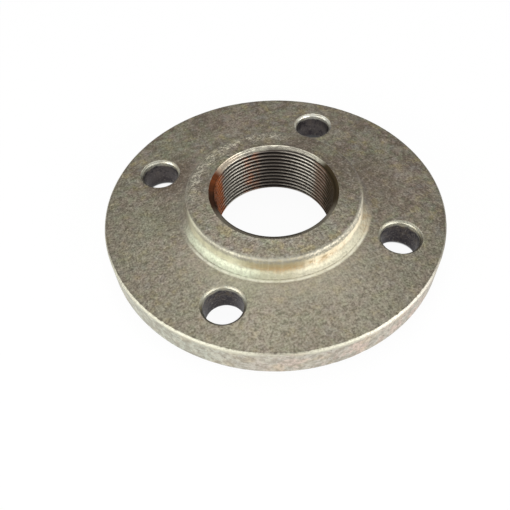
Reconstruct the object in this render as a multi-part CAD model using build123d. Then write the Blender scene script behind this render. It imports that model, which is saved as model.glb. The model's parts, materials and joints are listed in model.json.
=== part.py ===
from build123d import *
import math
import os

# Threaded flange of forged steel, made in one piece: a round plate with a raised
# sealing face under it, a short hub on top, a two inch pipe thread through the
# middle and a circle of plain bolt holes.
# The z axis is the axis of the pipe. z is 0 at the raised sealing face.
# Driving dimensions, in millimetres and degrees.

# Plate
flange_diameter = 165
rim_height = 15
rim_top_bevel = 1
rim_bottom_bevel = 0.3

# Raised sealing face
raised_face_diameter = 102
raised_face_height = 3
raised_face_edge_break = 0.5

# Hub, measured where its drafted wall would meet the plate
hub_diameter = 86
hub_height = 10
hub_draft_angle = 3
hub_base_fillet = 5
hub_top_rounding = 2

# Pipe thread, whose crests are cut a little short of the full form
thread_major_diameter = 59.614
threads_per_inch = 11
thread_flank_angle = 55
crest_truncation = 0.12
thread_start_angle = 145

# Ends of the bore: a wide shallow countersink at the hub's face, a broken edge at the raised face
countersink_reach = 1.2
countersink_slope = 25
bore_bottom_break = 0.5

# Bolt holes
bolt_circle_diameter = 125
bolt_hole_count = 4
bolt_hole_diameter = 18
bolt_hole_top_chamfer = 1.1
bolt_hole_bottom_chamfer = 0.3
first_bolt_hole_angle = 45

# Depth of the full thread form as a share of its pitch, and how far inside the bore its cutter starts
thread_depth_share = 0.640327
cutter_overlap = 0.2

# Heights and radii that follow from the driving dimensions
plate_top = raised_face_height + rim_height
hub_top = plate_top + hub_height
hub_top_radius = hub_diameter / 2 - hub_height * math.tan(math.radians(hub_draft_angle))
thread_pitch = IN / threads_per_inch
thread_root_radius = thread_major_diameter / 2
thread_crest_radius = thread_root_radius - thread_depth_share * thread_pitch + crest_truncation
countersink_width = thread_root_radius + countersink_reach - thread_crest_radius
countersink_depth = countersink_width * math.tan(math.radians(countersink_slope))


def corner(section, radius, height):
    """The corner of a half section that lies nearest to a radius and a height."""
    return section.vertices().sort_by_distance((radius, height))[0]


def forging():
    """The flange before drilling: its half section, turned about the pipe's axis."""
    outline = Polyline(
        (0, 0),
        (raised_face_diameter / 2, 0),
        (raised_face_diameter / 2, raised_face_height),
        (flange_diameter / 2, raised_face_height),
        (flange_diameter / 2, plate_top),
        (hub_diameter / 2, plate_top),
        (hub_top_radius, hub_top),
        (0, hub_top),
        close=True,
    )
    section = make_face(outline)
    section = chamfer(corner(section, raised_face_diameter / 2, 0), raised_face_edge_break)
    section = chamfer(corner(section, flange_diameter / 2, raised_face_height), rim_bottom_bevel)
    section = chamfer(corner(section, flange_diameter / 2, plate_top), rim_top_bevel)
    section = fillet(corner(section, hub_diameter / 2, plate_top), hub_base_fillet)
    section = fillet(corner(section, hub_top_radius, hub_top), hub_top_rounding)
    return revolve(Plane.XZ * section, Axis.Z)


def drill(radius, bottom, top, bottom_chamfer, top_chamfer, top_chamfer_depth):
    """A cutter for a round hole from bottom to top, widened by a cone at each end."""
    half_section = Polyline(
        (0, bottom),
        (radius + bottom_chamfer, bottom),
        (radius, bottom + bottom_chamfer),
        (radius, top - top_chamfer_depth),
        (radius + top_chamfer, top),
        (0, top),
        close=True,
    )
    return revolve(Plane.XZ * make_face(half_section), Axis.Z)


def bore():
    """The bore through plate and hub, drilled to the crests of the thread."""
    return drill(thread_crest_radius, 0, hub_top, bore_bottom_break, countersink_width, countersink_depth)


def thread_turn():
    """A cutter for one turn of the thread's groove: a tapered section, swept along a helix."""
    pitch_radius = thread_root_radius - thread_depth_share * thread_pitch / 2
    flank_slope = math.tan(math.radians(thread_flank_angle / 2))
    inner_radius = thread_crest_radius - cutter_overlap
    inner_half_width = thread_pitch / 4 + (pitch_radius - inner_radius) * flank_slope
    root_half_width = thread_pitch / 4 + (pitch_radius - thread_root_radius) * flank_slope
    groove_section = Polyline(
        (inner_radius, -inner_half_width),
        (thread_root_radius, -root_half_width),
        (thread_root_radius, root_half_width),
        (inner_radius, inner_half_width),
        close=True,
    )
    helix = Helix(pitch=thread_pitch, height=thread_pitch, radius=thread_root_radius)
    return sweep(Plane.XZ * make_face(groove_section), path=helix, is_frenet=True)


def thread():
    """The right-hand thread: single turns end to end, from below the bore to above the hub."""
    turn = Rot(0, 0, thread_start_angle) * thread_turn()
    turn_count = math.ceil(hub_top / thread_pitch) + 2
    return [Pos(0, 0, (index - 1) * thread_pitch) * turn for index in range(turn_count)]


def bolt_holes():
    """The bolt holes, spread evenly round the bolt circle."""
    hole = drill(
        bolt_hole_diameter / 2,
        raised_face_height,
        plate_top,
        bolt_hole_bottom_chamfer,
        bolt_hole_top_chamfer,
        bolt_hole_top_chamfer,
    )
    places = PolarLocations(bolt_circle_diameter / 2, bolt_hole_count, start_angle=first_bolt_hole_angle)
    return [place * hole for place in places]


threaded_flange = forging() - bore() - thread() - bolt_holes()
threaded_flange.label = "threaded_flange"

os.makedirs("parts", exist_ok=True)
export_step(threaded_flange, "parts/threaded_flange.step")
print("thread crest radius", thread_crest_radius, "and countersink depth", countersink_depth)
print("volume in cubic millimetres", threaded_flange.volume)
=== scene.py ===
# The threaded flange on a plain white floor: one detailed mesh of the forging with its
# pipe thread, its surface finish, the studio light and the camera.
import json
import math

import bmesh
import bpy
import numpy as np
from mathutils import Matrix, Vector, noise
from mathutils.geometry import delaunay_2d_cdt


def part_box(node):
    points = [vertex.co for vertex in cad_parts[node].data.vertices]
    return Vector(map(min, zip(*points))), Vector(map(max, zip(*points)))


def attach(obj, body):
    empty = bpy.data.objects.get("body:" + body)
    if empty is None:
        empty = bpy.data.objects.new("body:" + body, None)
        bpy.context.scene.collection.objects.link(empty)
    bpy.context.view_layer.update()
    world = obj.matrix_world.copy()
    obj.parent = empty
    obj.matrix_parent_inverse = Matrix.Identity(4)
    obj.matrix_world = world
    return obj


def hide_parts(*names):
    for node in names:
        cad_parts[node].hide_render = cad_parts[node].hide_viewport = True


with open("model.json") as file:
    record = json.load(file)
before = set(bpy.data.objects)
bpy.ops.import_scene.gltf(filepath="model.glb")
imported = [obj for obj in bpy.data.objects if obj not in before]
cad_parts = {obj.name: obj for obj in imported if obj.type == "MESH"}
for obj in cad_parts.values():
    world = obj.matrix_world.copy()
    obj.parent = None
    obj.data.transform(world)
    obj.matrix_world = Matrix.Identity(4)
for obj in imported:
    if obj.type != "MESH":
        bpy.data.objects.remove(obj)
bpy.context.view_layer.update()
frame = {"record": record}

NODE = "threaded_flange"
MM = 0.001
RANDOM_SEED = 7

# Sizes that come from the frame, in millimetres
record = frame["record"]
mounts = {mount["name"]: mount for mount in record["mounts"]}
low_corner, high_corner = (Vector(corner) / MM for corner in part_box(NODE))
FLANGE_RADIUS = high_corner.x
TOTAL_HEIGHT = high_corner.z
CREST_RADIUS = mounts["pipe_thread"]["dims"]["r_mm"]
HOLE_RADIUS = mounts["bolt_holes"]["dims"]["hole_r_mm"]
HOLE_COUNT = mounts["bolt_holes"]["dims"]["count"]
HOLE_CIRCLE_RADIUS = mounts["bolt_holes"]["dims"]["pcd_mm"] / 2
PLATE_TOP = mounts["nut_face"]["pos_m"][2] / MM
FIRST_HOLE_ANGLE = math.radians(45)

# Sizes that the frame doesn't state, in millimetres and degrees
RAISED_FACE_RADIUS = 51
RAISED_FACE_HEIGHT = 3
RAISED_FACE_BREAK = 0.5
HUB_RADIUS = 43
HUB_DRAFT = math.radians(3)
HUB_BASE_FILLET = 5
HUB_TOP_ROUNDING = 2
COUNTERSINK_RADIUS = 31.007
COUNTERSINK_SLOPE = math.tan(math.radians(25))
BORE_BOTTOM_BREAK = 0.5
RIM_TOP_BEVEL = 1.0
RIM_BOTTOM_BEVEL = 0.3
HOLE_TOP_CHAMFER = 1.1
HOLE_BOTTOM_CHAMFER = 0.3
EDGE_MARGIN = 0.12

# Camera, fitted to the outlines in the photograph
CAMERA_DISTANCE = 0.283655
CAMERA_ELEVATION = math.radians(52.131)
CAMERA_AZIMUTH = math.radians(-21.217)
CAMERA_ROLL = math.radians(-3.063)
AIM_RIGHT = -0.009699
AIM_UP = -0.014292
FOCAL_LENGTH = 550.32 / 510 * 36

# Pipe thread
THREAD_PITCH = 25.4 / 11
THREAD_ROOT_RADIUS = 29.807
THREAD_FULL_DEPTH = 0.640327 * THREAD_PITCH
THREAD_ROOT_ROUNDING = 0.137329 * THREAD_PITCH
THREAD_FLANK = math.tan(math.radians(27.5))
THREAD_START = math.radians(145)

# Relief of the forged skin: depth and size of its waves, in millimetres
SAG_DEPTH = 0.10
SAG_SIZE = 14.0
DENT_DEPTH = 0.16
DENT_SIZE = 3.1
SKIN_DEPTH = 0.05
SKIN_SIZE = 1.6
CRUST_DEPTH = 0.22
CRUST_SIZE = 1.5
CREASE_RADIUS = 45.9
CREASE_WIDTH = 0.38
CREASE_DEPTH = 0.16

# Mesh density
BORE_COLUMNS = 256
RIM_COLUMNS = 512
HOLE_COLUMNS = 64
PLATE_SPACING = 0.78
UNDERSIDE_SPACING = 2.6


class MeshBuilder:
    """Collects rings and patches of points, in millimetres, as one closed mesh."""

    def __init__(self):
        self.points = []
        self.faces = []
        self.face_zones = []

    def add_points(self, points):
        start = len(self.points)
        self.points.extend(points)
        return list(range(start, start + len(points)))

    def add_face(self, corners, zone, flip=False):
        self.faces.append(corners[::-1] if flip else corners)
        self.face_zones.append(zone)

    def add_strip(self, rows, zone, flip=False):
        """Joins rows of equally many points into a closed band of quads."""
        loops = [self.add_points(row) for row in rows]
        count = len(loops[0])
        for below, above in zip(loops, loops[1:]):
            for index in range(count):
                after = (index + 1) % count
                quad = (below[index], below[after], above[after], above[index])
                self.add_face(quad, zone, flip)

    def add_patch(self, points, triangles, zone, flip=False):
        start = len(self.points)
        self.add_points(points)
        for triangle in triangles:
            self.add_face(tuple(start + index for index in triangle), zone, flip)


def circle(radius, height, count, centre=(0.0, 0.0)):
    """Points round a circle, counterclockwise seen from above."""
    angles = [2 * math.pi * index / count for index in range(count)]
    return [
        (centre[0] + radius * math.cos(angle), centre[1] + radius * math.sin(angle), height)
        for angle in angles
    ]


def arc(centre_r, centre_z, radius, start, end, steps):
    """Points (r, z) along an arc of a half section, at angles measured from +r towards +z."""
    return [
        (
            centre_r + radius * math.cos(start + (end - start) * step / steps),
            centre_z + radius * math.sin(start + (end - start) * step / steps),
        )
        for step in range(steps + 1)
    ]


def line(start, end, steps):
    """Points (r, z) along a straight stretch, with the first one left out."""
    return [
        (start[0] + (end[0] - start[0]) * step / steps, start[1] + (end[1] - start[1]) * step / steps)
        for step in range(1, steps + 1)
    ]


def revolve(builder, profile, count, zone, flip=False):
    builder.add_strip([circle(r, z, count) for r, z in profile], zone, flip)


def hole_centres():
    """Centres of the bolt holes."""
    angles = [FIRST_HOLE_ANGLE + 2 * math.pi * index / HOLE_COUNT for index in range(HOLE_COUNT)]
    return [(HOLE_CIRCLE_RADIUS * math.cos(a), HOLE_CIRCLE_RADIUS * math.sin(a)) for a in angles]


def hub_profile():
    """The hub's outside from the countersink's rim to the plate: face, rounding, drafted wall and fillet."""
    top_corner = HUB_RADIUS - (TOTAL_HEIGHT - PLATE_TOP) * math.tan(HUB_DRAFT)
    tangent = math.tan((math.pi / 2 - HUB_DRAFT) / 2)
    rounding_r = top_corner - HUB_TOP_ROUNDING * tangent
    rounding_z = TOTAL_HEIGHT - HUB_TOP_ROUNDING
    fillet_r = HUB_RADIUS + HUB_BASE_FILLET * tangent
    fillet_z = PLATE_TOP + HUB_BASE_FILLET
    face_start = (COUNTERSINK_RADIUS + EDGE_MARGIN, TOTAL_HEIGHT)
    face = [(COUNTERSINK_RADIUS, TOTAL_HEIGHT), face_start]
    face += line(face_start, (rounding_r, TOTAL_HEIGHT), 10)
    rounding = arc(rounding_r, rounding_z, HUB_TOP_ROUNDING, math.pi / 2, HUB_DRAFT, 8)[1:]
    fillet = arc(fillet_r, fillet_z, HUB_BASE_FILLET, math.pi + HUB_DRAFT, 1.5 * math.pi, 26)
    wall = line(rounding[-1], fillet[0], 3)[:-1]
    return face + rounding + wall + fillet


def rim_profile():
    """The rim from the plate's top face to its underside."""
    top = [(FLANGE_RADIUS - RIM_TOP_BEVEL - 0.25, PLATE_TOP)]
    bevel = [
        (FLANGE_RADIUS - RIM_TOP_BEVEL + 0.12, PLATE_TOP - 0.06),
        (FLANGE_RADIUS - RIM_TOP_BEVEL * 0.66, PLATE_TOP - RIM_TOP_BEVEL * 0.27),
        (FLANGE_RADIUS - RIM_TOP_BEVEL * 0.27, PLATE_TOP - RIM_TOP_BEVEL * 0.66),
        (FLANGE_RADIUS - 0.06, PLATE_TOP - RIM_TOP_BEVEL + 0.12),
        (FLANGE_RADIUS, PLATE_TOP - RIM_TOP_BEVEL - 0.25),
    ]
    bottom = (FLANGE_RADIUS, RAISED_FACE_HEIGHT + RIM_BOTTOM_BEVEL)
    side = line(bevel[-1], bottom, 14)
    return top + bevel + side + [(FLANGE_RADIUS - RIM_BOTTOM_BEVEL, RAISED_FACE_HEIGHT)]


def thread_radius(height, angle):
    """Radius of the threaded wall, with flat crests and rounded roots, without its ends."""
    phase = height / THREAD_PITCH - (angle - THREAD_START) / (2 * math.pi)
    offset = abs(phase - round(phase)) * THREAD_PITCH
    pitch_line_radius = THREAD_ROOT_RADIUS - THREAD_FULL_DEPTH / 2
    flank = pitch_line_radius + (THREAD_PITCH / 4 - offset) / THREAD_FLANK
    tangent_offset = THREAD_ROOT_ROUNDING * math.cos(math.radians(27.5))
    if offset < tangent_offset:
        centre = THREAD_ROOT_RADIUS - THREAD_ROOT_ROUNDING
        return centre + math.sqrt(THREAD_ROOT_ROUNDING**2 - offset**2)
    return max(flank, CREST_RADIUS)


def bore_radius(height, angle):
    """Radius of the bore at a height and an angle, with the thread and both ends."""
    countersink = COUNTERSINK_RADIUS - (TOTAL_HEIGHT - height) / COUNTERSINK_SLOPE
    bottom_break = CREST_RADIUS + BORE_BOTTOM_BREAK - height
    return max(thread_radius(height, angle), countersink, bottom_break)


def thread_rows():
    """Heights, within one pitch, of the rows that follow the thread's edges."""
    crest_edge = THREAD_PITCH / 4 + (THREAD_ROOT_RADIUS - THREAD_FULL_DEPTH / 2 - CREST_RADIUS) * THREAD_FLANK
    root_edge = THREAD_ROOT_ROUNDING * math.cos(math.radians(27.5))
    half = [0.0, root_edge * 0.6, root_edge, (root_edge + crest_edge) / 2, crest_edge]
    return sorted([-offset for offset in half[1:]] + half)


def add_bore(builder):
    """The threaded wall, with rows along the helix, from the raised face to the countersink's rim."""
    within = thread_rows()
    turns = range(-2, int(TOTAL_HEIGHT / THREAD_PITCH) + 3)
    starts = [turn * THREAD_PITCH + offset for turn in turns for offset in within]
    first_cone = TOTAL_HEIGHT - (COUNTERSINK_RADIUS - CREST_RADIUS) * COUNTERSINK_SLOPE
    last_cone = TOTAL_HEIGHT - (COUNTERSINK_RADIUS - THREAD_ROOT_RADIUS) * COUNTERSINK_SLOPE
    columns = []
    for index in range(BORE_COLUMNS + 1):
        angle = 2 * math.pi * index / BORE_COLUMNS
        climb = THREAD_PITCH * (angle - THREAD_START) / (2 * math.pi)
        heights = [start + climb for start in starts]
        heights = [min(max(height, 0.0), TOTAL_HEIGHT) for height in heights]
        edge = crossing(first_cone, last_cone, angle)
        nearest = min(range(len(heights)), key=lambda row: abs(heights[row] - edge))
        heights[nearest] = edge
        columns.append([
            (
                bore_radius(height, angle) * math.cos(angle),
                bore_radius(height, angle) * math.sin(angle),
                height,
            )
            for height in heights
        ])
    rows = len(starts)
    start = len(builder.points)
    for column in columns:
        builder.add_points(column)
    for index in range(BORE_COLUMNS):
        for row in range(rows - 1):
            here = start + index * rows + row
            there = here + rows
            builder.add_face((here, here + 1, there + 1, there), "bore")


def crossing(low, high, angle):
    """Height at which the countersink's cone takes over from the thread, found by halving."""
    for _ in range(24):
        middle = (low + high) / 2
        cone = COUNTERSINK_RADIUS - (TOTAL_HEIGHT - middle) / COUNTERSINK_SLOPE
        if cone < thread_radius(middle, angle):
            low = middle
        else:
            high = middle
    return (low + high) / 2


def flat_region(inner, outer, inner_count, outer_count, hole_radius, spacing, generator):
    """Triangles of a flat ring with bolt holes: 2D points and index triples."""
    loops = [
        circle(outer, 0, outer_count),
        circle(inner, 0, inner_count),
        *[circle(hole_radius, 0, HOLE_COLUMNS, centre) for centre in hole_centres()],
    ]
    points = []
    edges = []
    for loop in loops:
        start = len(points)
        points.extend((x, y) for x, y, _ in loop)
        edges.extend((start + i, start + (i + 1) % len(loop)) for i in range(len(loop)))
    steps = int(outer / spacing) + 1
    row_height = spacing * math.sqrt(3) / 2
    grid = []
    for row in range(-int(outer / row_height) - 1, int(outer / row_height) + 2):
        for column in range(-steps, steps + 1):
            grid.append(((column + 0.5 * (row % 2)) * spacing, row * row_height))
    grid = np.array(grid)
    grid += generator.uniform(-0.2, 0.2, grid.shape) * spacing
    radius = np.hypot(grid[:, 0], grid[:, 1])
    outer_margin = 0.55 * max(spacing, 2 * math.pi * outer / outer_count)
    inner_margin = 0.55 * max(spacing, 2 * math.pi * inner / inner_count)
    keep = (radius < outer - outer_margin) & (radius > inner + inner_margin)
    for centre in hole_centres():
        keep &= np.hypot(grid[:, 0] - centre[0], grid[:, 1] - centre[1]) > hole_radius + 0.55 * spacing
    boundary = len(points)
    points.extend(map(tuple, grid[keep]))
    result = delaunay_2d_cdt([Vector(p) for p in points], edges, [], 0, 1e-6)
    out_points = np.array([tuple(v) for v in result[0]])
    triangles = np.array([f for f in result[2] if len(f) == 3])
    middle = out_points[triangles].mean(axis=1)
    middle_radius = np.hypot(middle[:, 0], middle[:, 1])
    inside = (middle_radius > inner * math.cos(math.pi / inner_count) * 0.9999) & (middle_radius < outer)
    for centre in hole_centres():
        away = np.hypot(middle[:, 0] - centre[0], middle[:, 1] - centre[1])
        inside &= away > hole_radius * math.cos(math.pi / HOLE_COLUMNS) * 0.9999
    return out_points, triangles[inside], boundary


def add_flat(builder, inner, outer, inner_count, outer_count, hole_radius, height, spacing, zone, flip, generator):
    points, triangles, _ = flat_region(inner, outer, inner_count, outer_count, hole_radius, spacing, generator)
    a, b, c = (points[triangles[:, k]] for k in range(3))
    turn = (b[:, 0] - a[:, 0]) * (c[:, 1] - a[:, 1]) - (b[:, 1] - a[:, 1]) * (c[:, 0] - a[:, 0])
    triangles[turn < 0] = triangles[turn < 0][:, ::-1]
    builder.add_patch([(x, y, height) for x, y in points], triangles.tolist(), zone, flip)


def hole_profile():
    """A bolt hole's wall (r, z) from the plate's top face to its underside, with softened chamfers."""
    top_radius = HOLE_RADIUS + HOLE_TOP_CHAMFER
    chamfer_end = PLATE_TOP - HOLE_TOP_CHAMFER
    wall_start = (HOLE_RADIUS, chamfer_end - EDGE_MARGIN)
    wall_end = (HOLE_RADIUS, RAISED_FACE_HEIGHT + HOLE_BOTTOM_CHAMFER)
    profile = [
        (top_radius + EDGE_MARGIN, PLATE_TOP),
        (top_radius - EDGE_MARGIN / 2, PLATE_TOP - EDGE_MARGIN / 2),
        (HOLE_RADIUS + HOLE_TOP_CHAMFER / 2, PLATE_TOP - HOLE_TOP_CHAMFER / 2),
        (HOLE_RADIUS + EDGE_MARGIN / 2, chamfer_end + EDGE_MARGIN / 2),
        wall_start,
    ]
    return profile + line(wall_start, wall_end, 12) + [(HOLE_RADIUS + HOLE_BOTTOM_CHAMFER, RAISED_FACE_HEIGHT)]


def add_holes(builder):
    """Chamfers and walls of the bolt holes."""
    for centre in hole_centres():
        rows = [circle(r, z, HOLE_COLUMNS, centre) for r, z in hole_profile()]
        builder.add_strip(rows, "hole", flip=True)


def build_flange():
    """The whole flange as one closed mesh object, in metres."""
    generator = np.random.default_rng(RANDOM_SEED)
    builder = MeshBuilder()
    hub = hub_profile()
    rim = rim_profile()
    add_bore(builder)
    revolve(builder, hub, BORE_COLUMNS, "hub", flip=True)
    revolve(builder, rim, RIM_COLUMNS, "rim", flip=True)
    add_flat(
        builder, hub[-1][0], rim[0][0], BORE_COLUMNS, RIM_COLUMNS, hole_profile()[0][0],
        PLATE_TOP, PLATE_SPACING, "plate", False, generator,
    )
    add_flat(
        builder, RAISED_FACE_RADIUS, rim[-1][0], BORE_COLUMNS, RIM_COLUMNS, HOLE_RADIUS + HOLE_BOTTOM_CHAMFER,
        RAISED_FACE_HEIGHT, UNDERSIDE_SPACING, "underside", True, generator,
    )
    add_holes(builder)
    step = [(RAISED_FACE_RADIUS, RAISED_FACE_HEIGHT), (RAISED_FACE_RADIUS, RAISED_FACE_BREAK)]
    step += [(RAISED_FACE_RADIUS - RAISED_FACE_BREAK, 0)]
    revolve(builder, step, BORE_COLUMNS, "underside", flip=True)
    add_raised_face(builder)
    return finish_mesh(builder)


def add_raised_face(builder):
    """The raised face, from its broken outer edge to the thread's lowest turn."""
    outer = RAISED_FACE_RADIUS - RAISED_FACE_BREAK
    count = 24
    rows = []
    for step in range(count + 1):
        share = step / count
        row = []
        for index in range(BORE_COLUMNS):
            angle = 2 * math.pi * index / BORE_COLUMNS
            radius = outer + (bore_radius(0.0, angle) - outer) * share
            row.append((radius * math.cos(angle), radius * math.sin(angle), 0.0))
        rows.append(row)
    builder.add_strip(rows, "raised_face", flip=True)


def smooth_step(value, low, high):
    """Rises from 0 to 1 as a value goes from low to high, with soft ends."""
    share = min(max((value - low) / (high - low), 0.0), 1.0)
    return share * share * (3 - 2 * share)


def seen_angle(x, y):
    """Angle of a place about the axis, in degrees; 270 faces the camera and 0 is at its right."""
    return math.degrees(math.atan2(y, x) - CAMERA_AZIMUTH) % 360


def relief(x, y, z):
    """How far the skin of the forging lies under its nominal surface, in millimetres."""
    radius = math.hypot(x, y)
    if radius < COUNTERSINK_RADIUS + 0.2 or z < RAISED_FACE_HEIGHT - 0.01:
        return 0.0
    place = Vector((x, y, z))
    sag = SAG_DEPTH * (0.5 + 0.5 * noise.noise(place / SAG_SIZE))
    dents = DENT_DEPTH * max(noise.noise(place / DENT_SIZE) - 0.25, 0.0)
    skin = sag + dents + SKIN_DEPTH * (0.5 + 0.5 * noise.noise(place / SKIN_SIZE))
    angle = seen_angle(x, y)
    crusted = smooth_step(angle, 70, 95) * (1 - smooth_step(angle, 165, 190))
    crusted *= smooth_step(radius, 36, 38.5) * (1 - smooth_step(radius, 48, 51))
    crust = CRUST_DEPTH * crusted * abs(noise.noise(place / CRUST_SIZE))
    near = smooth_step(angle, 175, 200) * (1 - smooth_step(angle, 345, 360))
    crease = CREASE_DEPTH * near * math.exp(-(((radius - CREASE_RADIUS) / CREASE_WIDTH) ** 2))
    return skin + crust + crease


def press_relief(work):
    """Moves each point of the mesh in by the depth of the relief at its place."""
    work.normal_update()
    for point in work.verts:
        depth = relief(*(point.co / MM))
        point.co -= point.normal * depth * MM


def finish_mesh(builder):
    """Joins the parts of the mesh along their shared rings and clears what has no area."""
    mesh = bpy.data.meshes.new("flange")
    mesh.from_pydata([tuple(c * MM for c in p) for p in builder.points], [], builder.faces)
    names = list(dict.fromkeys(ZONE_MATERIALS.values()))
    for name in names:
        mesh.materials.append(materials[name])
    for polygon, zone in zip(mesh.polygons, builder.face_zones):
        polygon.material_index = names.index(ZONE_MATERIALS[zone])
    piece = bpy.data.objects.new("flange_forging", mesh)
    bpy.context.scene.collection.objects.link(piece)
    work = bmesh.new()
    work.from_mesh(mesh)
    bmesh.ops.remove_doubles(work, verts=work.verts, dist=2e-6)
    bmesh.ops.dissolve_degenerate(work, dist=2e-6, edges=work.edges)
    bmesh.ops.triangulate(work, faces=[f for f in work.faces if len(f.verts) > 4])
    bmesh.ops.recalc_face_normals(work, faces=work.faces)
    loose = [v for v in work.verts if not v.link_faces]
    bmesh.ops.delete(work, geom=loose, context="VERTS")
    press_relief(work)
    open_edges = sum(1 for e in work.edges if len(e.link_faces) != 2)
    print("mesh", len(work.verts), "points,", sum(len(f.verts) - 2 for f in work.faces), "triangles,", open_edges, "open edges")
    for face in work.faces:
        face.smooth = True
    work.to_mesh(mesh)
    work.free()
    return piece



def add_camera():
    """A camera that looks down on the flange, turned about the object's axis."""
    forward = Vector((0, math.cos(CAMERA_ELEVATION), -math.sin(CAMERA_ELEVATION)))
    level_up = Vector((0, math.sin(CAMERA_ELEVATION), math.cos(CAMERA_ELEVATION)))
    level_right = Vector((1, 0, 0))
    right = math.cos(CAMERA_ROLL) * level_right + math.sin(CAMERA_ROLL) * level_up
    up = -math.sin(CAMERA_ROLL) * level_right + math.cos(CAMERA_ROLL) * level_up
    place = -CAMERA_DISTANCE * forward + AIM_RIGHT * right + AIM_UP * up
    matrix = Matrix((right, up, -forward)).transposed().to_4x4()
    matrix.translation = place
    data = bpy.data.cameras.new("camera")
    data.lens = FOCAL_LENGTH
    data.sensor_width = 36
    data.sensor_fit = "HORIZONTAL"
    data.clip_start = 0.01
    camera = bpy.data.objects.new("camera", data)
    camera.matrix_world = Matrix.Rotation(CAMERA_AZIMUTH, 4, "Z") @ matrix
    bpy.context.scene.collection.objects.link(camera)
    bpy.context.scene.camera = camera
    return camera


camera = add_camera()

# Colours of the steel, as linear red, green and blue, among them painted highlights, sheen and shade
SKIN_COLOUR = (0.226, 0.200, 0.153)
SKIN_DARK = (0.088, 0.076, 0.056)
FLECK_COLOUR = (0.60, 0.57, 0.46)
PLATE_SHEEN = (0.385, 0.358, 0.280)
PALE_STREAK = (0.780, 0.740, 0.600)
RING_HIGHLIGHT = (0.700, 0.680, 0.560)
FILLET_WEAR_AND_HIGHLIGHT = (0.575, 0.545, 0.410)
ROUNDING_WEAR_AND_HIGHLIGHT = (0.335, 0.318, 0.255)
WALL_WEAR_AND_HIGHLIGHT = (0.620, 0.600, 0.430)
WALL_PEACH_HIGHLIGHT = (1.000, 0.900, 0.690)
WALL_OLIVE = (0.345, 0.290, 0.165)
WALL_BROWN = (0.440, 0.290, 0.130)
GREEN_CREAM = (0.530, 0.560, 0.415)
GREEN_TINT = (0.215, 0.235, 0.155)
ROSE_TINT = (0.265, 0.205, 0.175)
DARK_TINT = (0.130, 0.099, 0.076)
OCHRE_TINT = (0.290, 0.245, 0.130)
BLUE_TINT = (0.235, 0.225, 0.205)
RIM_COLOUR = (0.44, 0.415, 0.355)
RIM_GREEN = (0.42, 0.43, 0.355)
RIM_ROSE = (0.560, 0.445, 0.380)
RIM_OCHRE = (0.50, 0.41, 0.26)
RIM_DIRT = (0.16, 0.13, 0.11)
BEVEL_COLOUR = (0.500, 0.485, 0.385)
BEVEL_HIGHLIGHT = (0.660, 0.625, 0.530)
HOLE_COLOUR = (0.027, 0.022, 0.027)
HOLE_LIGHT = (0.092, 0.080, 0.077)
HOLE_FAR_LIGHT = (0.128, 0.112, 0.108)
HOLE_DEPTH_SHADE = (0.014, 0.011, 0.015)
HOLE_BROWN = (0.110, 0.085, 0.058)
HOLE_SPECK = (0.270, 0.245, 0.205)
CHAMFER_COLOUR = (0.415, 0.405, 0.325)
CHAMFER_HIGHLIGHT = (0.740, 0.730, 0.640)
CHAMFER_OCHRE = (0.420, 0.370, 0.260)
THREAD_COLOUR = (0.095, 0.080, 0.068)
THREAD_CREST = (0.215, 0.195, 0.165)
THREAD_PALE = (0.500, 0.475, 0.405)
FLANK_PALE = (0.160, 0.145, 0.122)
THREAD_ROOT = (0.022, 0.017, 0.016)
THREAD_BROWN = (0.180, 0.105, 0.066)
THREAD_OLIVE = (0.050, 0.036, 0.018)
RUST_COLOUR = (0.450, 0.128, 0.031)
RUST_DEEP = (0.190, 0.055, 0.018)
RUST_BROWN = (0.048, 0.020, 0.010)
SHADED_RUST = (0.024, 0.008, 0.003)
CONE_COLOUR = (0.540, 0.520, 0.420)
CONE_PEACH = (0.700, 0.590, 0.450)
CONE_DARK = (0.280, 0.260, 0.215)
FACED_COLOUR = (0.50, 0.475, 0.43)
FACED_DARK = (0.36, 0.335, 0.29)

MIX_A = 6
MIX_B = 7
MIX_RESULT = 2


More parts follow.
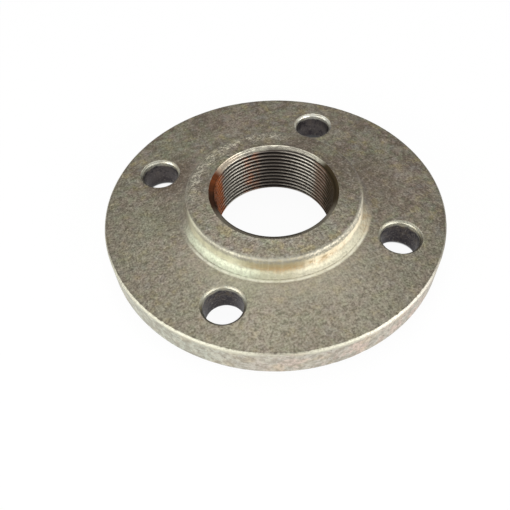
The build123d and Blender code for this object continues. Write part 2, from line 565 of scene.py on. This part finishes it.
class Shading:
    """Adds nodes to one material, with places given by the object's own coordinates in millimetres."""

    def __init__(self, name):
        self.material = bpy.data.materials.new(name)
        self.material.use_nodes = True
        self.tree = self.material.node_tree
        self.shader = self.tree.nodes["Principled BSDF"]
        source = self.add("ShaderNodeTexCoord")
        scale = self.add("ShaderNodeVectorMath", operation="SCALE")
        scale.inputs["Scale"].default_value = 1 / MM
        self.tree.links.new(source.outputs["Object"], scale.inputs[0])
        self.place = scale.outputs[0]
        split = self.add("ShaderNodeSeparateXYZ")
        self.tree.links.new(self.place, split.inputs[0])
        self.x, self.y, self.z = split.outputs
        self.radius = self.math("SQRT", self.math("ADD", self.square(self.x), self.square(self.y)))

    def add(self, kind, **settings):
        node = self.tree.nodes.new(kind)
        for name, value in settings.items():
            setattr(node, name, value)
        return node

    def feed(self, socket, value):
        """Links a socket to another one, or sets it to a number or a colour."""
        if isinstance(value, bpy.types.NodeSocket):
            self.tree.links.new(value, socket)
        elif isinstance(value, tuple):
            socket.default_value = (*value, 1.0)
        else:
            socket.default_value = value

    def math(self, operation, first, second=0.0, clamp=False):
        node = self.add("ShaderNodeMath", operation=operation, use_clamp=clamp)
        self.feed(node.inputs[0], first)
        self.feed(node.inputs[1], second)
        return node.outputs[0]

    def square(self, value):
        return self.math("MULTIPLY", value, value)

    def product(self, *values):
        result = values[0]
        for value in values[1:]:
            result = self.math("MULTIPLY", result, value)
        return result

    def rise(self, value, low, high, start=0.0, end=1.0):
        """Goes smoothly from start to end as a value goes from low to high."""
        node = self.add("ShaderNodeMapRange", interpolation_type="SMOOTHSTEP")
        for socket, number in zip(node.inputs, (value, low, high, start, end)):
            self.feed(socket, number)
        return node.outputs[0]

    def band(self, value, low, high, soft):
        """One between low and high, and zero outside them, with soft edges."""
        return self.product(
            self.rise(value, low - soft, low + soft),
            self.rise(value, high - soft, high + soft, 1.0, 0.0),
        )

    def mix(self, share, first, second):
        node = self.add("ShaderNodeMix", data_type="RGBA")
        self.feed(node.inputs[0], share)
        self.feed(node.inputs[MIX_A], first)
        self.feed(node.inputs[MIX_B], second)
        return node.outputs[MIX_RESULT]

    def noise(self, size, detail=2.0, roughness=0.5, distortion=0.0):
        """Noise whose features are about size millimetres wide."""
        node = self.add("ShaderNodeTexNoise")
        self.feed(node.inputs["Vector"], self.place)
        node.inputs["Scale"].default_value = 1 / size
        node.inputs["Detail"].default_value = detail
        node.inputs["Roughness"].default_value = roughness
        node.inputs["Distortion"].default_value = distortion
        return node.outputs[0]

    def streaks(self, size, detail=2.0, roughness=0.5):
        """Noise drawn out along the hub's wall and across its fillet, about size millimetres wide."""
        around = self.add("ShaderNodeCombineXYZ")
        slide = self.product(self.math("SUBTRACT", self.z, self.radius), 0.12)
        self.feed(around.inputs[0], self.product(self.math("DIVIDE", self.x, self.radius), HUB_RADIUS))
        self.feed(around.inputs[1], self.product(self.math("DIVIDE", self.y, self.radius), HUB_RADIUS))
        self.feed(around.inputs[2], slide)
        output = self.noise(size, detail, roughness)
        self.tree.links.new(around.outputs[0], output.node.inputs["Vector"])
        return output

    def patch(self, angle, radius, reach):
        """A soft round patch about a place given by its seen angle and its distance from the axis."""
        turn = math.radians(angle) + CAMERA_AZIMUTH
        away_x = self.math("SUBTRACT", self.x, radius * math.cos(turn))
        away_y = self.math("SUBTRACT", self.y, radius * math.sin(turn))
        away = self.math("SQRT", self.math("ADD", self.square(away_x), self.square(away_y)))
        return self.rise(away, 0.2 * reach, reach, 1.0, 0.0)

    def toward(self, angle, low, high):
        """Rises from 0 to 1 with the cosine between a place's direction and a seen angle."""
        turn = math.radians(angle) + CAMERA_AZIMUTH
        along = self.math(
            "ADD",
            self.math("MULTIPLY", self.x, math.cos(turn)),
            self.math("MULTIPLY", self.y, math.sin(turn)),
        )
        return self.rise(self.math("DIVIDE", along, self.radius), low, high)

    def across(self):
        """How far a place lies to the right of the axis, seen from the camera's side."""
        along_x = self.math("MULTIPLY", self.x, math.cos(CAMERA_AZIMUTH))
        along_y = self.math("MULTIPLY", self.y, math.sin(CAMERA_AZIMUTH))
        return self.math("ADD", along_x, along_y)

    def hole_side(self):
        """From -1 on the side of a bolt hole next to the camera to 1 on its far side."""
        corner = HOLE_CIRCLE_RADIUS * math.cos(FIRST_HOLE_ANGLE)
        away_x = self.math("SUBTRACT", self.x, self.product(self.math("SIGN", self.x), corner))
        away_y = self.math("SUBTRACT", self.y, self.product(self.math("SIGN", self.y), corner))
        along_x = self.product(away_x, -math.sin(CAMERA_AZIMUTH) / HOLE_RADIUS)
        along_y = self.product(away_y, math.cos(CAMERA_AZIMUTH) / HOLE_RADIUS)
        return self.math("ADD", along_x, along_y)

    def bump(self, height, depth, under=None):
        """Relief of a depth in millimetres, over the relief of an earlier bump."""
        node = self.add("ShaderNodeBump")
        node.inputs["Strength"].default_value = 1.0
        node.inputs["Distance"].default_value = depth * MM
        self.feed(node.inputs["Height"], height)
        if under is not None:
            self.tree.links.new(under, node.inputs["Normal"])
        return node.outputs["Normal"]

    def finish(self, colour, roughness, metallic, normal):
        self.feed(self.shader.inputs["Base Color"], colour)
        self.feed(self.shader.inputs["Roughness"], roughness)
        self.feed(self.shader.inputs["Metallic"], metallic)
        if normal is not None:
            self.tree.links.new(normal, self.shader.inputs["Normal"])
        return self.material


def skin_colour(kit, grain, coarse):
    """Grained olive grey, mottled green, rose, ochre and blue, with stained patches, a painted sheen at the front, dark
    smudges that thicken towards the far side as painted shade, and pale flecks.
    """
    cloud = kit.noise(13.0, 2.0, 0.5)
    mottle = kit.noise(4.4, 2.0, 0.6)
    blotch = kit.noise(6.0, 3.0, 0.6)
    far = kit.toward(75, -0.6, 0.5)
    hub_face = kit.rise(kit.radius, 40.5, 41.5, 1.0, 0.0)
    vivid = kit.math("MAXIMUM", kit.rise(far, 0.0, 1.0, 0.85, 1.5), kit.product(hub_face, 1.5))
    # Dark smudges: partly stains, and denser towards the far side as painted shade of the plate's far half.
    smudge_and_far_shade = kit.product(kit.rise(kit.noise(9.0, 2.0, 0.5), 0.42, 0.60), kit.rise(far, 0.0, 1.0, 0.10, 0.78))
    colour = kit.mix(smudge_and_far_shade, SKIN_COLOUR, DARK_TINT)
    colour = kit.mix(kit.product(kit.rise(mottle, 0.52, 0.66), vivid, 0.36), colour, GREEN_TINT)
    colour = kit.mix(kit.product(kit.rise(mottle, 0.34, 0.48, 1.0, 0.0), vivid, 0.38), colour, ROSE_TINT)
    colour = kit.mix(kit.product(kit.rise(blotch, 0.52, 0.68), vivid, 0.46), colour, OCHRE_TINT)
    colour = kit.mix(kit.product(kit.rise(blotch, 0.32, 0.48, 1.0, 0.0), vivid, 0.40), colour, BLUE_TINT)
    colour = kit.mix(kit.product(kit.rise(cloud, 0.42, 0.66), 0.22), colour, GREEN_TINT)
    for angle, radius, reach, share, tint in TINTED_PATCHES:
        colour = kit.mix(kit.product(kit.patch(angle, radius, reach), share), colour, tint)
    tone = kit.math("ADD", kit.product(grain, 0.58), kit.product(coarse, 0.42))
    colour = kit.mix(kit.product(hub_face, 0.20), colour, SKIN_DARK)
    dark_share = kit.product(kit.rise(tone, 0.53, 0.36), kit.rise(hub_face, 0.0, 1.0, 0.62, 0.70))
    light_share = kit.product(kit.rise(tone, 0.50, 0.66), kit.rise(hub_face, 0.0, 1.0, 0.22, 0.21))
    colour = kit.mix(dark_share, colour, SKIN_DARK)
    return kit.mix(light_share, colour, FLECK_COLOUR)


def crust_mask(kit):
    """Patches of pale scale inside the far edge of the hub's face, most of them at the left."""
    patches = kit.noise(4.0, 2.0, 0.55)
    radius = kit.math("ADD", kit.radius, kit.product(kit.math("SUBTRACT", patches, 0.5), 7.0))
    place = kit.product(kit.toward(130, 0.46, 0.84), kit.band(radius, 37.0, 50.0, 1.6))
    place = kit.product(place, kit.rise(kit.radius, 40.3, 41.2, 1.0, 0.35))
    place = kit.product(place, kit.rise(patches, 0.36, 0.52, 0.35, 1.0))
    return kit.product(place, kit.rise(kit.noise(1.5, 2.0, 0.6), 0.40, 0.60, 0.25, 1.0))


def hub_colour(kit, colour, grain, ragged):
    """The hub's outside, pale on the near side at its rounding, wall and fillet from wear and painted highlights, with
    a brown stain on the wall, a painted sheen on the plate round it and a painted highlight on the ring by the fillet's
    foot.
    """
    radius = kit.math("ADD", kit.radius, kit.product(ragged, 0.9))
    height = kit.math("ADD", kit.z, kit.product(ragged, 1.0))
    speckle = kit.rise(grain, 0.34, 0.60, 0.45, 1.0)
    near = kit.toward(273, 0.10, 0.50)
    above_plate = kit.rise(kit.z, PLATE_TOP - 1, PLATE_TOP - 0.2)
    flow = kit.noise(3.2, 3.0, 0.65)

    # Painted sheen on the plate round the hub, on its near side.
    plate_sheen_zone = kit.product(kit.rise(kit.radius, 46.0, 66.0, 1.0, 0.0), kit.rise(kit.radius, 42.5, 43.5))
    plate_sheen_zone = kit.product(plate_sheen_zone, kit.toward(266, 0.35, 0.95), above_plate)
    colour = kit.mix(kit.product(plate_sheen_zone, 0.32), colour, PLATE_SHEEN)
    # The fillet, pale on the near side: partly wear, partly a painted highlight.
    fillet = kit.product(kit.rise(height, 22.0, 20.2), kit.rise(radius, 46.4, 48.0, 1.0, 0.0))
    fillet = kit.product(fillet, above_plate, kit.rise(kit.radius, 42.0, 42.5), near)
    outer_end = kit.math("MAXIMUM", kit.rise(radius, 45.0, 46.4, 1.0, 0.2), kit.toward(290, 0.30, 0.72))
    fillet = kit.product(fillet, outer_end)
    fillet_tint = kit.mix(kit.toward(232, 0.60, 0.95), FILLET_WEAR_AND_HIGHLIGHT, GREEN_CREAM)
    fillet_tint = kit.mix(kit.product(kit.toward(268, 0.960, 0.998), 0.40), fillet_tint, WALL_OLIVE)
    stained = kit.product(kit.toward(351, 0.90, 0.99), kit.rise(flow, 0.40, 0.60, 0.25, 0.75))
    fillet_tint = kit.mix(stained, fillet_tint, WALL_BROWN)
    colour = kit.mix(kit.product(fillet, kit.rise(grain, 0.32, 0.60, 0.70, 1.0)), colour, fillet_tint)
    # The wall, pale on the near side, brightest and peach towards the right, darker olive at the front centre: partly
    # wear, partly a painted highlight.
    wall = kit.product(kit.rise(height, 20.2, 22.0), kit.rise(kit.radius, 41.4, 41.9), near)
    wall_tint = kit.mix(kit.toward(312, 0.60, 0.92), WALL_WEAR_AND_HIGHLIGHT, WALL_PEACH_HIGHLIGHT)
    wall_tint = kit.mix(kit.product(kit.toward(268, 0.905, 0.990), 0.9), wall_tint, WALL_OLIVE)
    colour = kit.mix(wall, colour, wall_tint)
    stain = kit.product(
        kit.band(height, 20.4, 23.6, 1.4),
        kit.rise(kit.radius, 42.0, 42.3),
        kit.toward(284, 0.74, 0.98),
        kit.rise(flow, 0.38, 0.62, 0.15, 1.0),
        kit.rise(grain, 0.36, 0.60, 0.55, 1.0),
    )
    colour = kit.mix(kit.product(stain, 0.80), colour, WALL_BROWN)
    # The rounding, pale on the near side: partly wear, partly a painted highlight.
    rounding = kit.product(kit.rise(radius, 40.6, 41.6), kit.rise(height, 24.1, 25.7))
    rounding = kit.product(rounding, kit.toward(278, 0.12, 0.62))
    colour = kit.mix(kit.product(rounding, speckle), colour, ROUNDING_WEAR_AND_HIGHLIGHT)
    outside = kit.product(kit.band(kit.radius, 41.3, 45.6, 0.5), near)
    drawn = kit.streaks(2.8, 2.5, 0.62)
    colour = kit.mix(kit.product(outside, kit.rise(drawn, 0.50, 0.66), 0.20), colour, SKIN_COLOUR)
    colour = kit.mix(kit.product(outside, kit.rise(drawn, 0.48, 0.34), 0.12), colour, PALE_STREAK)
    colour = kit.mix(kit.product(outside, kit.rise(flow, 0.50, 0.68), 0.15), colour, SKIN_COLOUR)
    crease = kit.product(kit.band(kit.radius, CREASE_RADIUS - 0.15, CREASE_RADIUS + 0.15, 0.2), near)
    colour = kit.mix(kit.product(crease, kit.rise(ragged, -0.30, 0.20), 0.75), colour, SKIN_COLOUR)
    # Painted highlight on a thin ring beyond the crease, on the near side.
    ring = kit.product(kit.band(kit.radius, CREASE_RADIUS + 0.5, CREASE_RADIUS + 1.4, 0.5), kit.toward(273, 0.38, 0.62))
    return kit.mix(kit.product(ring, kit.rise(flow, 0.36, 0.60, 0.25, 0.85)), colour, RING_HIGHLIGHT)


def rim_colour(kit, colour, grain, coarse, ragged):
    """The rim, pale and lightly stained, darker towards its far right as painted shade, with a bevel pale from wear and
    a painted highlight on the near side, and a few dark pits.
    """
    near = kit.toward(264, 0.25, 0.62)
    rim = kit.rise(kit.radius, FLANGE_RADIUS - 0.6, FLANGE_RADIUS - 0.25)
    side = kit.mix(kit.toward(224, 0.80, 0.97), RIM_COLOUR, RIM_GREEN)
    rosy = kit.product(kit.rise(kit.noise(7.0, 2.0, 0.6), 0.42, 0.60), kit.toward(296, 0.76, 0.96))
    side = kit.mix(kit.product(rosy, 0.9), side, RIM_ROSE)
    side = kit.mix(kit.product(kit.rise(kit.noise(9.0, 2.0, 0.6), 0.50, 0.66), 0.45), side, RIM_OCHRE)
    side = kit.mix(kit.product(kit.rise(coarse, 0.42, 0.62), 0.55), side, SKIN_COLOUR)
    side = kit.mix(kit.product(kit.rise(grain, 0.44, 0.64), 0.40), side, SKIN_COLOUR)
    side = kit.mix(kit.product(kit.rise(kit.noise(4.6, 2.0, 0.6), 0.50, 0.64), 0.30), side, SKIN_COLOUR)
    side = kit.mix(kit.product(kit.rise(kit.noise(5.4, 2.0, 0.6), 0.52, 0.66), 0.26), side, FLECK_COLOUR)
    # Painted shade: the rim's side turns darker towards its far right.
    side = kit.mix(kit.product(kit.toward(356, 0.80, 0.97), 0.75), side, SKIN_COLOUR)
    pits = kit.rise(kit.noise(1.5, 3.0, 0.7, 0.5), 0.61, 0.67)
    side = kit.mix(kit.product(pits, 0.8), side, RIM_DIRT)
    colour = kit.mix(rim, colour, side)
    worn_radius = kit.math("ADD", kit.radius, kit.product(ragged, 0.5))
    worn_height = kit.math("ADD", kit.z, kit.product(ragged, 1.3))
    # The bevel, pale on the near side only: partly wear, partly a painted highlight, brightest towards the right and
    # dimmed at the front centre.
    bevel = kit.product(
        kit.rise(worn_radius, FLANGE_RADIUS - 1.15, FLANGE_RADIUS - 0.75),
        kit.rise(worn_height, PLATE_TOP - 2.6, PLATE_TOP - 1.3),
    )
    highlight_gap = kit.rise(kit.toward(269, 0.985, 0.999), 0.0, 1.0, 1.0, 0.35)
    speckle = kit.rise(grain, 0.34, 0.58, 0.55, 1.0)
    bevel_tint = kit.mix(kit.toward(316, 0.88, 0.98), BEVEL_COLOUR, BEVEL_HIGHLIGHT)
    return kit.mix(kit.product(bevel, near, highlight_gap, speckle), colour, bevel_tint)


def forged_skin():
    """Dull grained skin of plate and hub, pale along hub edge, fillet and rim from wear and painted highlights."""
    kit = Shading("forged_skin")
    grain = kit.noise(1.0, 1.6, 0.55)
    coarse = kit.noise(2.3, 2.0, 0.55)
    ragged = kit.product(kit.math("SUBTRACT", coarse, 0.5), 2.0)
    crust = crust_mask(kit)
    colour = skin_colour(kit, grain, coarse)
    colour = kit.mix(kit.product(crust, 0.46), colour, FLECK_COLOUR)
    colour = hub_colour(kit, colour, grain, ragged)
    colour = rim_colour(kit, colour, grain, coarse, ragged)
    normal = kit.bump(kit.math("ADD", kit.product(grain, 0.8), coarse), 0.15)
    normal = kit.bump(crust, 0.20, normal)
    worn = kit.band(kit.radius, 40.8, 47.5, 0.8)
    rim = kit.rise(kit.radius, FLANGE_RADIUS - 1.2, FLANGE_RADIUS - 0.8)
    metallic = kit.rise(kit.math("MAXIMUM", kit.product(worn, 1.25), rim), 0.0, 1.25, 0.92, 0.50)
    metallic = kit.math("SUBTRACT", metallic, kit.product(worn, kit.toward(338, 0.82, 0.97), 0.28))
    roughness = kit.rise(kit.radius, 39.0, 41.0, 0.46, 0.52)
    return kit.finish(colour, roughness, metallic, normal)


def drilled_hole():
    """Dark scale with brown flecks on the drilled walls, painted lighter in the far holes and darker deeper down, worn
    pale from the chamfers down with a painted highlight on each hole's far side.
    """
    kit = Shading("drilled_hole")
    grain = kit.noise(0.9, 3.0, 0.6)
    cloud = kit.noise(3.2, 3.0, 0.65)
    depth = kit.math("ADD", kit.z, kit.product(kit.math("SUBTRACT", cloud, 0.5), 2.4))
    colour = kit.mix(kit.rise(grain, 0.35, 0.65), HOLE_COLOUR, HOLE_LIGHT)
    brown = kit.product(kit.rise(cloud, 0.48, 0.64), kit.rise(depth, PLATE_TOP - 9, PLATE_TOP - 3, 0.35, 1.0))
    colour = kit.mix(kit.product(brown, 0.75), colour, HOLE_BROWN)
    # Painted light: the walls of the holes on the flange's far side are lighter.
    colour = kit.mix(kit.product(kit.toward(105, 0.0, 0.7), 0.60), colour, HOLE_FAR_LIGHT)
    # Painted shade: the walls get darker deeper down in the hole.
    deep_shade = kit.rise(depth, RAISED_FACE_HEIGHT + 1, RAISED_FACE_HEIGHT + 8, 0.6, 0.0)
    colour = kit.mix(deep_shade, colour, HOLE_DEPTH_SHADE)
    specks = kit.rise(kit.noise(1.3, 2.0, 0.6), 0.60, 0.68)
    colour = kit.mix(kit.product(specks, 0.40), colour, HOLE_SPECK)
    colour = kit.mix(kit.product(kit.rise(cloud, 0.34, 0.46, 1.0, 0.0), 0.8), colour, HOLE_COLOUR)
    # The chamfers are worn pale, with a painted highlight: most on each hole's far side, palest in the far holes.
    far_share = kit.rise(kit.hole_side(), -0.35, 0.30, 0.25, 1.0)
    chamfer = kit.product(kit.rise(depth, PLATE_TOP - 3.3, PLATE_TOP - 2.0), far_share)
    worn = kit.mix(kit.toward(80, -0.1, 1.0), CHAMFER_COLOUR, CHAMFER_HIGHLIGHT)
    worn = kit.mix(kit.product(kit.rise(cloud, 0.44, 0.62), 0.6), worn, CHAMFER_OCHRE)
    colour = kit.mix(kit.product(chamfer, 0.95), colour, worn)
    return kit.finish(colour, 0.44, 0.9, kit.bump(grain, 0.10))


def threaded_bore():
    """Dark thread with bright crests, painted lighter at the bore's sides and with painted shade in its middle and at
    its outer edges, roots darkened by dirt and painted shade, rusted at the left, and its countersink, worn pale with a
    painted highlight on its far side.
    """
    kit = Shading("threaded_bore")
    grain = kit.noise(0.8, 2.0, 0.6)
    patchy = kit.noise(4.0, 3.0, 0.6)
    sway = kit.product(kit.math("SUBTRACT", patchy, 0.5), 5.0)
    seen_x = kit.math("ADD", kit.across(), sway)
    crest = kit.rise(kit.radius, CREST_RADIUS + 0.02, CREST_RADIUS + 0.20, 1.0, 0.0)
    root = kit.rise(kit.radius, CREST_RADIUS + 0.3, THREAD_ROOT_RADIUS - 0.4)
    # Painted shade: the crests are dimmer in the middle of the bore.
    centre_shade = kit.band(seen_x, -5.0, 6.0, 3.5)
    lit = kit.rise(kit.math("ABSOLUTE", kit.math("SUBTRACT", seen_x, 1.0)), 7.0, 19.0)
    # The bore's sides are painted lighter, and the roots darker: dirt, and painted shade in the grooves.
    colour = kit.mix(root, kit.mix(lit, THREAD_COLOUR, FLANK_PALE), THREAD_ROOT)
    crest_share = kit.product(crest, kit.rise(centre_shade, 0.0, 1.0, 1.0, 0.35))
    crest_share = kit.product(crest_share, kit.rise(patchy, 0.34, 0.62, 0.70, 1.0))
    colour = kit.mix(crest_share, colour, kit.mix(lit, THREAD_CREST, THREAD_PALE))
    spots = kit.product(kit.band(seen_x, -13.5, -6.5, 2.5), kit.rise(patchy, 0.36, 0.60))
    colour = kit.mix(kit.product(spots, 0.32), colour, RUST_COLOUR)
    drawn = kit.streaks(2.4, 2.0, 0.6)
    rusty = kit.mix(kit.product(kit.rise(drawn, 0.44, 0.62), 0.55), RUST_COLOUR, RUST_DEEP)
    left = kit.product(kit.rise(seen_x, -26.0, -23.4, 1.0, 0.0), kit.rise(grain, 0.36, 0.60, 0.70, 0.95))
    right = kit.product(kit.rise(seen_x, 20.3, 24.0), 0.72)
    colour = kit.mix(left, colour, kit.mix(root, rusty, RUST_DEEP))
    colour = kit.mix(right, colour, kit.mix(root, THREAD_BROWN, THREAD_OLIVE))
    # Painted shade at the bore's outer edges, over dark rust at the left and olive at the right.
    shaded = kit.math("MAXIMUM", kit.rise(seen_x, -29.2, -27.6, 1.0, 0.0), kit.rise(seen_x, 25.2, 27.6))
    shade_tint = kit.mix(kit.rise(seen_x, -1.0, 1.0), SHADED_RUST, THREAD_OLIVE)
    colour = kit.mix(kit.product(shaded, 0.90), colour, shade_tint)
    matt = kit.math("MAXIMUM", kit.math("MAXIMUM", left, right), shaded)

    cone = kit.rise(kit.z, TOTAL_HEIGHT - 1.50, TOTAL_HEIGHT - 1.20)
    cone_wear_and_highlight = kit.mix(kit.rise(patchy, 0.32, 0.58), CONE_DARK, CONE_COLOUR)
    groove = kit.band(kit.z, TOTAL_HEIGHT - 0.85, TOTAL_HEIGHT - 0.60, 0.15)
    cone_wear_and_highlight = kit.mix(kit.product(groove, 0.45), cone_wear_and_highlight, CONE_DARK)
    cone_wear_and_highlight = kit.mix(kit.product(kit.toward(66, 0.90, 0.99), 0.85), cone_wear_and_highlight, CONE_DARK)
    reddened = kit.product(kit.toward(152, 0.84, 0.99), kit.rise(drawn, 0.40, 0.60, 0.6, 1.0))
    cone_rust = kit.mix(reddened, RUST_BROWN, RUST_DEEP)
    cone_side = kit.mix(kit.rise(seen_x, -1.0, 1.0), cone_rust, THREAD_OLIVE)
    cone_wear_and_highlight = kit.mix(kit.product(kit.toward(142, 0.90, 0.99), 0.8), cone_wear_and_highlight, CONE_PEACH)
    # The countersink is pale only on its far side: partly wear, partly a painted highlight.
    cone_colour = kit.mix(kit.toward(92, 0.42, 0.64), cone_side, cone_wear_and_highlight)
    cone_colour = kit.mix(kit.toward(270, 0.25, 0.60), cone_colour, SKIN_COLOUR)
    colour = kit.mix(cone, colour, cone_colour)
    roughness = kit.rise(matt, 0.0, 1.0, 0.36, 0.60)
    return kit.finish(colour, roughness, 0.96, kit.bump(grain, 0.06))


def faced_surface():
    """Machined sealing face with fine concentric grooves."""
    kit = Shading("faced_surface")
    grooves = kit.math("SINE", kit.product(kit.radius, 2 * math.pi / 0.8))
    grain = kit.noise(1.2, 2.0, 0.6)
    colour = kit.mix(kit.rise(grain, 0.35, 0.70), FACED_COLOUR, FACED_DARK)
    return kit.finish(colour, 0.36, 0.95, kit.bump(grooves, 0.03))


# Tinted patches of the skin, stains and darker patches, with the last two a painted sheen on the plate's near side:
# seen angle, distance from the axis, reach, share and colour
TINTED_PATCHES = (
    (188, 58, 15, 0.40, GREEN_TINT),
    (140, 66, 15, 0.35, GREEN_TINT),
    (252, 53, 14, 0.35, GREEN_TINT),
    (10, 62, 26, 0.30, ROSE_TINT),
    (60, 70, 24, 0.22, ROSE_TINT),
    (105, 64, 16, 0.35, ROSE_TINT),
    (156, 53, 22, 0.92, DARK_TINT),
    (185, 52, 12, 0.30, DARK_TINT),
    (2, 53, 16, 0.40, DARK_TINT),
    (118, 74, 17, 0.35, DARK_TINT),
    (22, 52, 18, 0.50, DARK_TINT),
    (62, 36, 14, 0.60, DARK_TINT),
    (18, 35, 17, 0.58, DARK_TINT),
    (100, 36, 13, 0.40, DARK_TINT),
    (170, 36, 12, 0.30, DARK_TINT),
    # Painted sheen on the plate's near side
    (298, 68, 26, 0.18, PLATE_SHEEN),
    (262, 70, 20, 0.20, PLATE_SHEEN),
)


ZONE_MATERIALS = {
    "plate": "forged_skin",
    "hub": "forged_skin",
    "rim": "forged_skin",
    "underside": "forged_skin",
    "hole": "drilled_hole",
    "bore": "threaded_bore",
    "raised_face": "faced_surface",
}
materials = {
    "forged_skin": forged_skin(),
    "drilled_hole": drilled_hole(),
    "threaded_bore": threaded_bore(),
    "faced_surface": faced_surface(),
}

flange = build_flange()
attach(flange, "root")
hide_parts(NODE)

# Studio: a white floor, a wall of light round it that dims towards the ceiling, and two soft boxes
FLOOR_REACH = 6.0
FLOOR_WHITE = (0.9, 0.9, 0.9)
FLOOR_GLOW = 0.95
SHADED_GLOW = 0.06
CEILING_LEVEL = 0.38
HORIZON_LEVEL = 0.8
BEHIND_SHARE = 0.72
SOFT_BOX_DISTANCE = 0.9


def add_floor():
    """A white floor that keeps the object's shadow, with a painted shadow under the plate."""
    mesh = bpy.data.meshes.new("floor")
    corners = [(-1, -1), (1, -1), (1, 1), (-1, 1)]
    mesh.from_pydata([(x * FLOOR_REACH, y * FLOOR_REACH, 0) for x, y in corners], [], [(0, 1, 2, 3)])
    floor = bpy.data.objects.new("floor", mesh)
    bpy.context.scene.collection.objects.link(floor)
    kit = Shading("white_floor")
    # Painted shadow: the floor's glow is low under the plate, outside its openings.
    open_floor = kit.math(
        "MAXIMUM",
        kit.rise(kit.radius, FLANGE_RADIUS - 4.5, FLANGE_RADIUS - 2),
        kit.rise(kit.radius, CREST_RADIUS - 0.5, CREST_RADIUS + 3, 1.0, 0.0),
    )
    for x, y in hole_centres():
        reach = HOLE_RADIUS + (0.2 if abs(seen_angle(x, y) - 90) < 45 else 1.6)
        away_x = kit.math("SUBTRACT", kit.x, x)
        away_y = kit.math("SUBTRACT", kit.y, y)
        away = kit.math("SQRT", kit.math("ADD", kit.square(away_x), kit.square(away_y)))
        lit = kit.rise(away, reach, reach + 1.6, 1.0, 0.0)
        open_floor = kit.math("MAXIMUM", open_floor, lit)
    path = kit.add("ShaderNodeLightPath")
    seen = kit.math("MAXIMUM", path.outputs["Is Camera Ray"], path.outputs["Is Glossy Ray"])
    seen = kit.math("MAXIMUM", seen, path.outputs["Is Transmission Ray"])
    glow = kit.add("ShaderNodeEmission")
    kit.feed(glow.inputs["Strength"], kit.rise(open_floor, 0.0, 1.0, SHADED_GLOW, 1.0))
    paper = kit.add("ShaderNodeBsdfDiffuse")
    kit.feed(paper.inputs["Color"], FLOOR_WHITE)
    blend = kit.add("ShaderNodeMixShader")
    kit.feed(blend.inputs["Fac"], kit.product(seen, FLOOR_GLOW))
    kit.tree.links.new(paper.outputs[0], blend.inputs[1])
    kit.tree.links.new(glow.outputs[0], blend.inputs[2])
    output = kit.tree.nodes["Material Output"]
    kit.tree.links.new(blend.outputs[0], output.inputs["Surface"])
    kit.tree.nodes.remove(kit.shader)
    mesh.materials.append(kit.material)


def add_world():
    """Light from all round: bright at the horizon, dimmer towards the ceiling and behind the object."""
    world = bpy.data.worlds.new("studio")
    bpy.context.scene.world = world
    world.use_nodes = True
    nodes, links = world.node_tree.nodes, world.node_tree.links

    def chain(operation, first, second):
        node = nodes.new("ShaderNodeMath")
        node.operation = operation
        for socket, value in zip(node.inputs, (first, second)):
            if isinstance(value, bpy.types.NodeSocket):
                links.new(value, socket)
            else:
                socket.default_value = value
        return node.outputs[0]

    def ramp(value, low, high, start, end):
        node = nodes.new("ShaderNodeMapRange")
        node.interpolation_type = "SMOOTHSTEP"
        links.new(value, node.inputs["Value"])
        node.inputs["From Min"].default_value = low
        node.inputs["From Max"].default_value = high
        node.inputs["To Min"].default_value = start
        node.inputs["To Max"].default_value = end
        return node.outputs["Result"]

    place = nodes.new("ShaderNodeTexCoord")
    split = nodes.new("ShaderNodeSeparateXYZ")
    links.new(place.outputs["Generated"], split.inputs[0])
    away_x = chain("MULTIPLY", split.outputs["X"], -math.sin(CAMERA_AZIMUTH))
    away_y = chain("MULTIPLY", split.outputs["Y"], math.cos(CAMERA_AZIMUTH))
    behind = ramp(chain("ADD", away_x, away_y), 0.1, 0.8, 1.0, BEHIND_SHARE)
    level = chain("MULTIPLY", ramp(split.outputs["Z"], 0.08, 0.5, HORIZON_LEVEL, CEILING_LEVEL), behind)
    seen = nodes.new("ShaderNodeLightPath").outputs["Is Camera Ray"]
    background = nodes["Background"]
    background.inputs["Color"].default_value = (1, 1, 1, 1)
    links.new(chain("MAXIMUM", level, seen), background.inputs["Strength"])


def add_soft_box(name, azimuth, elevation, width, height, power):
    """A soft box that faces the object, at an azimuth measured in the camera's own frame."""
    data = bpy.data.lights.new(name, "AREA")
    data.shape = "RECTANGLE"
    data.size = width
    data.size_y = height
    data.energy = power
    lamp = bpy.data.objects.new(name, data)
    turn = math.radians(azimuth) + CAMERA_AZIMUTH
    rise = math.radians(elevation)
    direction = Vector((math.cos(turn) * math.cos(rise), math.sin(turn) * math.cos(rise), math.sin(rise)))
    lamp.location = SOFT_BOX_DISTANCE * direction
    lamp.rotation_euler = direction.to_track_quat("Z", "Y").to_euler()
    lamp.visible_camera = False
    bpy.context.scene.collection.objects.link(lamp)


add_floor()
add_world()
add_soft_box("left_box", 218, 20, 1.10, 0.5, 7.5)
add_soft_box("right_box", 317, 20, 1.05, 0.5, 7)
add_soft_box("top_box", 90, 68, 0.45, 0.45, 3.0)

bpy.context.scene.view_settings.view_transform = "Standard"
